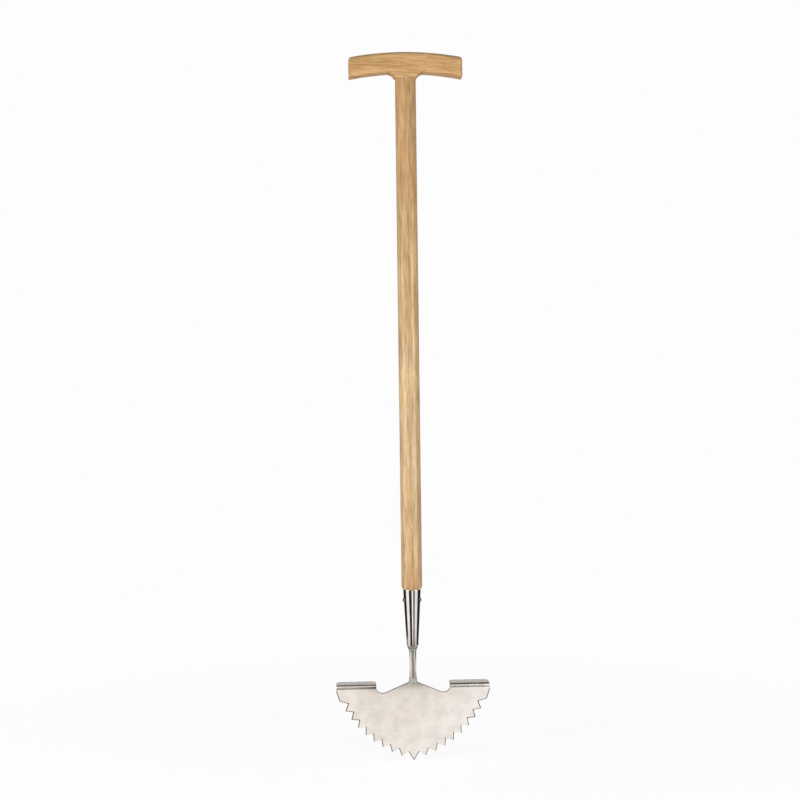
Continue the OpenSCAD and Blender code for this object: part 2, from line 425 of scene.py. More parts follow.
class Groups:
    """Effects that more than one finish uses, each built once as a node group."""

    built: dict[str, bpy.types.NodeTree] = {}

    @classmethod
    def start(
        cls, name: str, inputs: dict[str, float], outputs: Sequence[str]
    ) -> tuple[Tree, Any, Any]:
        """Begin a node group that takes a place and some values.

        Args:
            name: Name of the group.
            inputs: Name and usual value of each input after the place.
            outputs: Name of each output, all single values.

        Returns:
            The tree, what comes in and the output node.
        """
        group = bpy.data.node_groups.new(name, "ShaderNodeTree")
        new_socket, single = group.interface.new_socket, "NodeSocketFloat"
        new_socket("Vector", in_out="INPUT", socket_type="NodeSocketVector")
        for label, usual in inputs.items():
            new_socket(label, in_out="INPUT", socket_type=single).default_value = usual
        for label in outputs:
            new_socket(label, in_out="OUTPUT", socket_type=single)
        cls.built[name] = group
        tree = Tree(group)
        return tree, tree.add("NodeGroupInput").outputs, tree.add("NodeGroupOutput")

    @classmethod
    def ash_grain(cls) -> bpy.types.NodeTree:
        """Build the grain of ash: growth rings, fibres and open pores along Z, in millimetres.

        Returns:
            The group, with Tone, Pores, Amber and Height.
        """
        name = "ash_grain"
        if name in cls.built:
            return cls.built[name]
        tree, given, made = cls.start(
            name,
            {
                "Ring Width": 3.0,
                "Wander": 6.0,
                "Fibre Scale": 1.3,
                "Heart X": 24.0,
                "Heart Y": 30.0,
            },
            ["Tone", "Pores", "Amber", "Height"],
        )
        place = given["Vector"]
        wave = tree.drawn(place, squeeze=0.11, scale=0.05, detail=3.0, rough=0.6)
        fibre = tree.drawn(place, squeeze=0.035, scale=given["Fibre Scale"], detail=4.0, rough=0.65)
        fleck = tree.drawn(place, squeeze=0.06, scale=2.4, detail=2.0)
        cloud = tree.drawn(place, squeeze=0.3, scale=0.04, detail=2.0)
        patch = tree.drawn(place, squeeze=0.08, scale=0.16, detail=2.0)
        streak = tree.drawn(place, squeeze=0.09, scale=0.42, detail=3.0, rough=0.62)
        stain = tree.drawn(place, squeeze=0.05, scale=0.21, detail=2.0)
        sway = tree.math("MULTIPLY", tree.math("SUBTRACT", wave, 0.5), given["Wander"])
        parts = tree.add("ShaderNodeSeparateXYZ", {0: place}).outputs
        out_x = tree.math("SUBTRACT", parts["X"], given["Heart X"])
        out_y = tree.math("SUBTRACT", parts["Y"], given["Heart Y"])
        squares = tree.math("ADD", tree.math("POWER", out_x, 2.0), tree.math("POWER", out_y, 2.0))
        reach = tree.math("ADD", tree.math("SQRT", squares), sway)
        ring = tree.math("FRACT", tree.math("DIVIDE", reach, given["Ring Width"]))
        opened, closed = tree.remap(ring, (0.0, 0.12)), tree.remap(ring, (0.2, 0.75), FALL)
        early = tree.math("MULTIPLY", opened, closed)
        share = tree.remap(early, (0.0, 0.8), (0.15, 1.0))
        pores = tree.math("MULTIPLY", tree.remap(fleck, (0.53, 0.66)), share)
        amber = tree.remap(stain, (0.42, 0.68))
        tone: Any = 0.0
        layers = ((fibre, (0.28, 0.72), 0.44), (streak, (0.3, 0.7), 0.38), (cloud, (0.3, 0.7), 0.3))
        for layer, span, weight in layers:
            tone = tree.math("MULTIPLY_ADD", tree.remap(layer, span), weight, add=tone)
        faint = tree.math("MULTIPLY", early, tree.remap(patch, (0.35, 0.65), (0.0, 0.26)))
        tone = tree.math("SUBTRACT", tone, faint, clamp=True)
        height = tree.math("SUBTRACT", tree.math("MULTIPLY", tone, 0.4), pores)
        tree.feed(made, {"Tone": tone, "Pores": pores, "Amber": amber, "Height": height})
        return cls.built[name]

    @classmethod
    def worked_steel(cls) -> bpy.types.NodeTree:
        """Build the marks of worked steel: fine lines along X and clouding, in millimetres.

        Returns:
            The group, with Lines and Clouds.
        """
        name = "worked_steel"
        if name in cls.built:
            return cls.built[name]
        tree, given, made = cls.start(
            name, {"Line Scale": 1.4, "Cloud Scale": 0.05}, ["Lines", "Clouds"]
        )
        place = given["Vector"]
        drawn = tree.stretch(place, (0.03, 1.0, 1.0))
        lines = tree.noise(drawn, given["Line Scale"], detail=5.0, rough=0.65)
        clouds = tree.noise(place, given["Cloud Scale"], detail=4.0, rough=0.55)
        tree.feed(made, {"Lines": lines, "Clouds": clouds})
        return cls.built[name]


@dataclass(frozen=True)
class Finish:
    """A finish that a piece is dressed with."""

    name: str

    def begin(self) -> tuple[bpy.types.Material, Tree, Any, Socket]:
        """Make the material.

        Returns:
            The material, its tree, its shader and the place on the piece in millimetres.
        """
        material = bpy.data.materials.new(self.name)
        material.use_nodes = True
        tree = Tree(material.node_tree)
        shader = material.node_tree.nodes["Principled BSDF"]
        place = tree.add("ShaderNodeTexCoord").outputs["Object"]
        return material, tree, shader, tree.stretch(place, (1 / MM, 1 / MM, 1 / MM))

    def material(self) -> bpy.types.Material:
        """Build the material, as each kind of finish does in its own way."""
        raise NotImplementedError


@dataclass(frozen=True)
class AshFinish(Finish):
    """Oiled ash, with its grain along the piece."""

    light: Colour
    dark: Colour
    pore: Colour
    grain: Grain
    ring_width: float
    wander: float
    heart: Span
    fibre_scale: float
    amber: Colour
    # Painted shade: tints of the wood's colour along its height.
    painted_shade: Stops = ()
    tone_span: Span = (0.1, 0.85)
    pore_share: float = 0.55
    roughness: float = 0.3
    pore_roughness: float = 0.5
    relief: float = 0.12
    relief_strength: float = 0.25
    specular: float = 0.35

    def material(self) -> bpy.types.Material:
        """Build the wood.

        Returns:
            The material.
        """
        material, tree, shader, place = self.begin()
        laid = tree.add("ShaderNodeMapping", {"Vector": place, "Rotation": self.grain.value})
        given = {
            "Vector": laid.outputs[0],
            "Ring Width": self.ring_width,
            "Wander": self.wander,
            "Fibre Scale": self.fibre_scale,
            "Heart X": self.heart[0],
            "Heart Y": self.heart[1],
        }
        grain = tree.add("ShaderNodeGroup", given, node_tree=Groups.ash_grain()).outputs
        wood = tree.ramp(grain["Tone"], list(zip(self.tone_span, (self.dark, self.light))))
        toned = tree.mix(grain["Amber"], wood, self.amber, "MULTIPLY")
        # Painted shade along the piece's height.
        if self.painted_shade:
            level = tree.add("ShaderNodeSeparateXYZ", {0: place}).outputs["Z"]
            toned = tree.tone(toned, level, self.painted_shade)
        share = tree.math("MULTIPLY", grain["Pores"], self.pore_share)
        colour = tree.mix(share, toned, self.pore)
        rough = tree.remap(grain["Pores"], RISE, (self.roughness, self.pore_roughness))
        normal = tree.bump(grain["Height"], self.relief_strength, self.relief * MM)
        tree.feed(shader, {"Base Color": colour, "Roughness": rough, "Normal": normal})
        tree.feed(shader, {"Specular IOR Level": self.specular})
        return material


@dataclass(frozen=True)
class SteelFinish(Finish):
    """Steel, from satin to mirror bright."""

    light: Colour
    dark: Colour
    smooth: float
    rough: float
    line_scale: float
    cloud_scale: float
    line_depth: float
    # Painted shade: tints of the steel's colour along its height, or along the distance from a
    # given point.
    painted_shade: Stops = ()
    shade_from: Place | None = None
    # Dark colour painted as shade on the faces that carry the edge-shade mark.
    ground: Colour | None = None
    metallic: float = 1.0
    cloud_span: Span = (0.3, 0.7)
    worn_span: Span = (0.1, 0.45)
    line_strength: float = 0.3

    def material(self) -> bpy.types.Material:
        """Build the steel.

        Returns:
            The material.
        """
        material, tree, shader, place = self.begin()
        given = {
            "Vector": place,
            "Line Scale": self.line_scale,
            "Cloud Scale": self.cloud_scale,
        }
        marks = tree.add("ShaderNodeGroup", given, node_tree=Groups.worked_steel()).outputs
        cloud = tree.remap(marks["Clouds"], self.cloud_span)
        colour = tree.mix(cloud, self.dark, self.light)
        # Painted shade, along the height or along the distance from a point.
        if self.painted_shade:
            if self.shade_from:
                ends = {0: place, 1: self.shade_from}
                away = tree.add("ShaderNodeVectorMath", ends, operation="DISTANCE")
                level = away.outputs["Value"]
            else:
                level = tree.add("ShaderNodeSeparateXYZ", {0: place}).outputs["Z"]
            colour = tree.tone(colour, level, self.painted_shade)
        # Painted shade: faces with the edge-shade mark take the dark colour.
        if self.ground:
            edge = tree.add("ShaderNodeAttribute", attribute_name=EDGE_SHADE).outputs["Fac"]
            colour = tree.mix(edge, colour, self.ground)
        worn = tree.math("MULTIPLY", marks["Lines"], marks["Clouds"])
        rough = tree.remap(worn, self.worn_span, (self.smooth, self.rough))
        normal = tree.bump(marks["Lines"], self.line_strength, self.line_depth * MM)
        tree.feed(shader, {"Base Color": colour, "Roughness": rough, "Normal": normal})
        tree.feed(shader, {"Metallic": self.metallic})
        return material


GRIP_ASH = AshFinish(
    name="grip_ash",
    light=(0.75, 0.48, 0.222, 1),
    dark=(0.45, 0.245, 0.096, 1),
    pore=(0.25, 0.125, 0.045, 1),
    grain=Grain.ACROSS,
    ring_width=3.4,
    wander=9.0,
    heart=(30.0, 38.0),
    fibre_scale=1.2,
    amber=(1.0, 0.93, 0.86, 1),
)
SHAFT_ASH = AshFinish(
    name="shaft_ash",
    light=(0.82, 0.59, 0.333, 1),
    dark=(0.436, 0.266, 0.127, 1),
    pore=(0.34, 0.185, 0.08, 1),
    grain=Grain.UPRIGHT,
    ring_width=3.0,
    wander=14.0,
    heart=(22.0, 30.0),
    fibre_scale=0.8,
    amber=(0.97, 0.86, 0.70, 1),
    # Painted shade: the shaft darkens towards the grip, and is a little warmer near its foot.
    painted_shade=(
        (250.0, (1.0, 0.92, 0.85, 1)),
        (330.0, WHITE),
        (560.0, WHITE),
        (740.0, (0.94, 0.90, 0.855, 1)),
        (930.0, (0.875, 0.79, 0.71, 1)),
    ),
)
MIRROR_STEEL = SteelFinish(
    name="mirror_polished_steel",
    light=(0.95, 0.895, 0.87, 1),
    dark=(0.86, 0.805, 0.78, 1),
    smooth=0.05,
    rough=0.13,
    line_scale=2.5,
    cloud_scale=0.08,
    line_depth=0.004,
    # Painted shade: the socket's lower end is dark, nearly black at its tip, lightening up to 190
    # mm.
    painted_shade=(
        (156.0, (0.16, 0.15, 0.14, 1)),
        (158.0, (0.30, 0.288, 0.27, 1)),
        (161.0, (0.58, 0.565, 0.54, 1)),
        (165.0, (0.76, 0.745, 0.72, 1)),
        (172.0, (0.84, 0.83, 0.815, 1)),
        (190.0, WHITE),
    ),
)
NECK_STEEL = SteelFinish(
    name="polished_bar_steel",
    light=(0.83, 0.785, 0.74, 1),
    dark=(0.70, 0.655, 0.61, 1),
    smooth=0.10,
    rough=0.18,
    line_scale=2.0,
    cloud_scale=0.12,
    line_depth=0.003,
    # Painted shade: the neck is a little darker and warmer near its lower end, fading out by 140
    # mm.
    painted_shade=((112.0, (0.89, 0.84, 0.77, 1)), (140.0, WHITE)),
)
BLADE_STEEL = SteelFinish(
    name="satin_blade_steel",
    light=(0.965, 0.90, 0.832, 1),
    dark=(0.80, 0.748, 0.69, 1),
    smooth=0.18,
    rough=0.27,
    line_scale=1.6,
    cloud_scale=0.05,
    line_depth=0.02,
    # Painted shade: the blade is a little darker round a point at its peak, left of the middle,
    # fading out over about 95 mm.
    painted_shade=(
        (8.0, (0.91, 0.90, 0.87, 1)),
        (46.0, (0.94, 0.915, 0.89, 1)),
        (95.0, WHITE),
    ),
    shade_from=(-25.0, 0.0, 109.0),
    # Painted shade: the marked edge faces of the blade take this dark colour.
    ground=(0.15, 0.135, 0.12, 1),
)
RING_STEEL = SteelFinish(
    name="brushed_weld_ring_steel",
    light=(0.50, 0.485, 0.46, 1),
    dark=(0.38, 0.365, 0.34, 1),
    smooth=0.2,
    rough=0.36,
    line_scale=1.2,
    cloud_scale=0.3,
    line_depth=0.01,
)
WELD_STEEL = SteelFinish(
    name="dressed_weld_steel",
    light=(0.52, 0.50, 0.46, 1),
    dark=(0.41, 0.395, 0.355, 1),
    smooth=0.45,
    rough=0.6,
    line_scale=1.0,
    cloud_scale=0.35,
    line_depth=0.01,
    metallic=0.3,
)


def arc_points(step: float, height: float, count: int) -> Profile:
    """Points of an arc that leaves a wall smoothly and draws in by a step over a height.

    Args:
        step: How far the arc draws in.
        height: How high it is.
        count: How many stretches it has.

    Returns:
        Inset and rise of each point, from the drawn-in end up to the wall.
    """
    bend = (step**2 + height**2) / (2 * step)
    points = []
    for i in range(count + 1):
        rise = height * i / count
        points.append((bend - math.sqrt(bend**2 - (height - rise) ** 2), rise))
    return points


class Piece:
    """Settles a finished piece into the part."""

    @staticmethod
    def settle(piece: Obj, finish: Finish, slot: str, *nodes: str) -> None:
        """Dress a piece and let it stand for its solids.

        Args:
            piece: Finished piece.
            finish: Finish that it gets.
            slot: Material slot of the record; not used.
            nodes: Solids that it stands for.
        """
        piece.data.materials.clear()
        piece.data.materials.append(finish.material())
        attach(piece, BODY)
        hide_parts(*nodes)
        LOG.info("%s: %d faces, stands for %s", piece.name, len(piece.data.polygons), nodes)

    @staticmethod
    def dress(node: str, finish: Finish) -> None:
        """Give a solid that stays in view its finish.

        Args:
            node: Name of the solid.
            finish: Finish that it gets.
        """
        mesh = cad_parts[node].data
        mesh.materials.clear()
        mesh.materials.append(finish.material())
        LOG.info("%s: dressed with %s", node, finish.name)


@dataclass
class Handle:
    """Crossbar grip and the round shaft below it. Lengths are in millimetres."""

    grip_w: float = 159.0
    grip_h: float = 27.0
    grip_depth: float = 30.0
    edge_r: float = 6.0
    corner_r: float = 3.6
    lower_edge_r: float = 1.2
    bow_r: float = 430.0
    seam_z: float = 953.0
    stem_h: float = 8.8
    web_r: float = 11.0
    web_step: float = 0.5
    flare_share: float = 2.5
    shaft_r: float = 14.5
    rim_z: float = 239.0
    end_step: float = 1.8
    end_h: float = 6.0
    spigot_z: float = 179.0
    spigot_r: Span = (7.6, 10.9)
    seat_gap: float = 0.05
    tenon_r: float = 10.0
    tenon_h: float = 24.0
    seam_chamfer: float = 0.35
    carve_grid: float = 0.8
    sand_share: float = 0.5
    sand_passes: int = 5
    corner_steps: int = 5
    edge_steps: int = 8
    end_steps: int = 10
    straight_steps: int = 24
    bow_cuts: int = 39
    sides: int = 128

    @property
    def under_z(self) -> float:
        """Level of the crossbar's underside at the middle."""
        return self.seam_z + self.stem_h

    @property
    def bow_z(self) -> float:
        """Level of the centre that the crossbar's arcs share."""
        return self.under_z + self.grip_h - self.bow_r

    def crossbar(self) -> Obj:
        """Shape the arched bar: a block with rounded edges, cut across and bowed.

        Returns:
            The bar.
        """
        Bench.clear()
        middle = self.under_z + self.grip_h / 2
        bpy.ops.mesh.primitive_cube_add(size=1, location=(0, 0, middle * MM))
        block = bpy.context.view_layer.objects.active
        block.scale = (self.grip_w * MM, self.grip_depth * MM, self.grip_h * MM)
        bar = Bench.added("grip_crossbar")
        outer = self.grip_w / 4 * MM
        Bench.edit(bar, Element.EDGE)
        for radius, side in ((self.corner_r, 1), (self.lower_edge_r, -1)):
            Bench.pick(
                bar,
                Element.EDGE,
                lambda edge, side=side: all(
                    (v.co.z / MM - middle) * side > self.grip_h / 4 and abs(v.co.x) > outer
                    for v in edge.verts
                )
                and abs(edge.verts[0].co.y - edge.verts[1].co.y) > self.grip_depth / 2 * MM,
            )
            bpy.ops.mesh.bevel(offset=radius * MM, segments=self.corner_steps, affect="EDGES")
        front = (self.grip_depth / 2 - TOUCH) * MM
        Bench.pick(
            bar,
            Element.EDGE,
            lambda edge: abs(edge.verts[0].co.y) > front
            and abs(edge.verts[0].co.y - edge.verts[1].co.y) < front,
        )
        bpy.ops.mesh.bevel(offset=self.edge_r * MM, segments=self.edge_steps, affect="EDGES")
        for i in range(self.bow_cuts):
            x = self.grip_w * ((i + 1) / (self.bow_cuts + 1) - 0.5) * MM
            bpy.ops.mesh.select_all(action="SELECT")
            bpy.ops.mesh.bisect(plane_co=(x, 0, 0), plane_no=(1, 0, 0))
        mesh = bmesh.from_edit_mesh(bar.data)
        centre = self.bow_z * MM
        for vert in mesh.verts:
            radius = vert.co.z - centre
            vert.co.z = centre + math.sqrt(radius**2 - vert.co.x**2)
        bmesh.update_edit_mesh(bar.data)
        Bench.outwards()
        return bar

    def stem(self) -> Obj:
        """Shape the stem: a block with its webs cut round, turned to the shaft's round at the seam.

        Returns:
            The stem.
        """
        Bench.clear()
        height = self.stem_h + self.grip_h / 2
        drop = self.stem_h - self.web_r
        web_x = self.shaft_r + self.web_step + math.sqrt(self.web_r**2 - drop**2)
        bpy.ops.mesh.primitive_cube_add(size=1, location=(0, 0, (self.seam_z + height / 2) * MM))
        block = bpy.context.view_layer.objects.active
        block.scale = (2 * web_x * MM, (self.grip_depth - self.web_step) * MM, height * MM)
        stem = Bench.added("grip_stem")
        for side in (-1, 1):
            bpy.ops.mesh.primitive_cylinder_add(
                vertices=self.sides,
                radius=self.web_r * MM,
                depth=2 * self.grip_depth * MM,
                location=(side * web_x * MM, 0, (self.seam_z + drop) * MM),
                rotation=(math.radians(90), 0, 0),
            )
            Bench.cut(stem, Bench.added("web_cutter"), "DIFFERENCE")
        bpy.ops.mesh.primitive_cone_add(
            vertices=self.sides,
            radius1=self.shaft_r * MM,
            radius2=(self.shaft_r + self.flare_share * height) * MM,
            depth=height * MM,
            location=(0, 0, (self.seam_z + height / 2) * MM),
        )
        Bench.cut(stem, Bench.added("flare_cutter"), "INTERSECT")
        return stem

    def grip(self) -> None:
        """Carve the grip from its bar and stem, with the corners between them sanded soft."""
        bar = self.crossbar()
        stem = self.stem()
        Bench.cut(bar, stem, "UNION")
        Bench.modify(bar, "REMESH", mode="VOXEL", voxel_size=self.carve_grid * MM)
        Bench.modify(bar, "SMOOTH", factor=self.sand_share, iterations=self.sand_passes)
        Bench.smooth(bar, ALL_ROUND)
        Piece.settle(bar, GRIP_ASH, "grip_wood", "t_grip")

    def shaft(self) -> None:
        """Turn the shaft with its spigot, rounded lower end and tenon."""
        seat = self.rim_z + self.seat_gap
        profile = [(self.spigot_r[0], self.spigot_z), (self.spigot_r[1], seat)]
        for inset, rise in arc_points(self.end_step, self.end_h, self.end_steps):
            profile.append((self.shaft_r - inset, seat + rise))
        start = profile[-1][1]
        top = self.seam_z - self.seam_chamfer
        for i in range(1, self.straight_steps):
            profile.append((self.shaft_r, start + (top - start) * i / self.straight_steps))
        profile += [
            (self.shaft_r, top),
            (self.shaft_r - self.seam_chamfer, self.seam_z),
            (self.tenon_r, self.seam_z),
            (self.tenon_r, self.seam_z + self.tenon_h),
        ]
        shaft = Bench.turn("turned_shaft", profile, self.sides)
        Bench.smooth(shaft)
        Piece.settle(shaft, SHAFT_ASH, "shaft_wood", "shaft")

    def build(self) -> None:
        """Build and dress the grip and the shaft."""
        self.grip()
        self.shaft()


@dataclass
class SocketJoint:
    """Tapered socket with its rivet, and the neck welded into its end. Lengths in millimetres."""

    end_z: float = 156.0
    end_r: float = 6.4
    low_r: float = 8.3
    low_h: float = 6.0
    rim_z: float = 239.0
    rim_r: float = 12.5
    rim_round: float = 0.4
    wall: float = 1.5
    bore_r: float = 5.1
    end_ease: float = 0.1
    end_lift: float = 0.02
    steps: int = 12
    rim_steps: int = 4
    sides: int = 160

    def socket(self) -> None:
        """Turn the hollow socket, with a rounded end and a softened rim."""
        low_z = self.end_z + self.low_h
        taper = (self.rim_r - self.low_r) / (self.rim_z - low_z)
        profile = [(self.bore_r, self.end_z), (self.end_r - self.end_ease, self.end_z)]
        for inset, rise in arc_points(self.low_r - self.end_r, self.low_h, self.steps):
            profile.append((self.low_r - inset, self.end_z + rise + self.end_lift))
        wall_top = self.rim_z - self.rim_round
        levels = [low_z + (wall_top - low_z) * i / self.steps for i in range(1, self.steps)]
        for level in levels + [wall_top - self.rim_round / 2]:
            profile.append((self.low_r + taper * (level - low_z), level))
        for i in range(self.rim_steps + 1):
            angle = math.radians(90 * i / self.rim_steps)
            profile.append((
                self.rim_r - self.rim_round * (1 - math.cos(angle)),
                self.rim_z - self.rim_round * (1 - math.sin(angle)),
            ))
        floor_z = low_z + self.wall
        profile += [
            (self.rim_r - self.wall, self.rim_z),
            (self.low_r + taper * self.wall - self.wall, floor_z),
            (self.bore_r, floor_z),
            (self.bore_r, self.end_z),
        ]
        socket = Bench.turn("tapered_socket", profile, self.sides, ring=True)
        Bench.smooth(socket)
        Piece.settle(socket, MIRROR_STEEL, "polished_steel", "socket")

    def build(self) -> None:
        """Build the socket, and dress the rivet, the neck and the weld under the socket."""
        self.socket()
        Piece.dress("socket_rivet", RING_STEEL)
        Piece.dress("neck", NECK_STEEL)
        Piece.dress("socket_weld", RING_STEEL)


@dataclass
class Blade:
    """Half moon blade with folded treads and teeth, and painted shade along its cut edges. Lengths
    are in millimetres.
    """

    edge_break: float = 0.5
    tooth_break: float = 0.1
    sharp_angle: float = 40.0
    # The band and the slants below pick the faces that get painted edge shade.
    side_band: float = 1.3
    shade_slant: Span = (0.3, 0.95)
    front_slant: float = -0.99
    heel_slant: Span = (0.9, 0.99)
    heel_under: float = -0.2
    broken_mark: int = 1
    break_steps: int = 2
    large_faces: int = 100
    teeth_top: float = 82.0
    heel_top: float = 97.0
    notch_side: float = 52.0
    heel_side: float = 101.0
    fold_z: float = 100.0
    half_sheet: float = 1.6

    def on_rim(self, place: Vector) -> bool:
        """Say whether a place is on the rim above the teeth: a heel's side, a notch or a slope.

        Args:
            place: Middle of a face.

        Returns:
            Whether it is on the rim.
        """
        across, level = abs(place.x) / MM, place.z / MM
        beside = across > self.heel_side and level < self.fold_z
        return level > self.teeth_top and (across < self.notch_side or beside)

    def heel_sides(self, sheet: Obj) -> Sides:
        """Find the slanting cut faces at the sides of the heels.

        Args:
            sheet: Blade's sheet, as its solid is.

        Returns:
            Middle and outward normal of each.
        """
        found = []
        for side in (-1, 1):
            faces = [
                face
                for face in sheet.data.polygons
                if face.center.x * side / MM > self.heel_side
                and self.heel_slant[0] < face.normal.x * side < self.heel_slant[1]
                and face.normal.z < self.heel_under
            ]
            face = max(faces, key=lambda item: item.area)
            found.append((face.center.copy(), face.normal.copy()))
        return found

    def score_bands(self, sheet: Obj, sides: Sides) -> None:
        """Score the front face along the heels' sides, where the bands of painted edge shade end.

        Args:
            sheet: Blade's sheet, as its solid is.
            sides: Middle and outward normal of each side.
        """
        Bench.edit(sheet, Element.FACE)
        for middle, normal in sides:
            side = math.copysign(1.0, normal.x)
            Bench.pick(
                sheet,
                Element.FACE,
                lambda face, side=side: face.normal.y < self.front_slant
                and max(v.co.x * side for v in face.verts) / MM > self.heel_side,
            )
            bpy.ops.mesh.bisect(plane_co=middle - normal * self.side_band * MM, plane_no=normal)
        Bench.clear()

    def break_edges(self, sheet: Obj) -> None:
        """Break the sharp edges, the teeth least, and mark the new faces.

        Args:
            sheet: Blade's sheet, with its bands scored.
        """
        Bench.edit(sheet, Element.EDGE)
        mesh = bmesh.from_edit_mesh(sheet.data)
        weights = mesh.edges.layers.float.new("bevel_weight_edge")
        for edge in mesh.edges:
            if edge.calc_face_angle(0.0) > math.radians(self.sharp_angle):
                level = (edge.verts[0].co.z + edge.verts[1].co.z) / 2 / MM
                above = level > self.teeth_top
                edge[weights] = 1.0 if above else self.tooth_break / self.edge_break
        bmesh.update_edit_mesh(sheet.data)
        Bench.clear()
        for _ in range(self.broken_mark + 1):
            sheet.data.materials.append(None)
        Bench.modify(
            sheet,
            "BEVEL",
            width=self.edge_break * MM,
            segments=self.break_steps,
            limit_method="WEIGHT",
            use_clamp_overlap=False,
            material=self.broken_mark,
        )

    def mark_edge_shade(self, sheet: Obj, sides: Sides) -> None:
        """Mark where painted shade goes: the cut edges, the broken rim, the heels' bands and the
        teeth's outward flanks.

        Args:
            sheet: Blade's sheet, with its broken edges.
            sides: Middle and outward normal of each heel's side.
        """
        mesh = sheet.data
        mark = mesh.attributes.new(EDGE_SHADE, "FLOAT", "CORNER").data
        for face in mesh.polygons:
            out = math.copysign(1.0, face.center.x) * face.normal.x
            slant = self.shade_slant[0] < -face.normal.y < self.shade_slant[1]
            flank = slant and out > 0 and face.center.z / MM < self.heel_top
            broken = face.material_index == self.broken_mark and face.normal.y < 0
            rim = broken and self.on_rim(face.center)
            level = abs(face.normal.y) < self.shade_slant[0]
            cut = level and abs(face.center.y) / MM < self.half_sheet
            band = face.normal.y < -self.shade_slant[1] and any(
                (face.center - middle).dot(normal) > -self.side_band * MM
                for middle, normal in sides
            )
            for corner in face.loop_indices:
                mark[corner].value = float(flank or rim or cut or band)
            face.material_index = 0

    def sheet(self) -> None:
        """Finish the blade's sheet, with its edges broken and painted shade marked along them."""
        sheet = Bench.copy_of("blade", "half_moon_blade")
        sides = self.heel_sides(sheet)
        self.score_bands(sheet, sides)
        self.break_edges(sheet)
        Bench.smooth(sheet)
        Bench.modify(
            sheet, "WEIGHTED_NORMAL", mode="FACE_AREA", weight=self.large_faces, keep_sharp=True
        )
        self.mark_edge_shade(sheet, sides)
        Piece.settle(sheet, BLADE_STEEL, "blade_steel", "blade")

    def build(self) -> None:
        """Build the blade and dress the weld at its peak."""
        self.sheet()
        Piece.dress("blade_weld", WELD_STEEL)


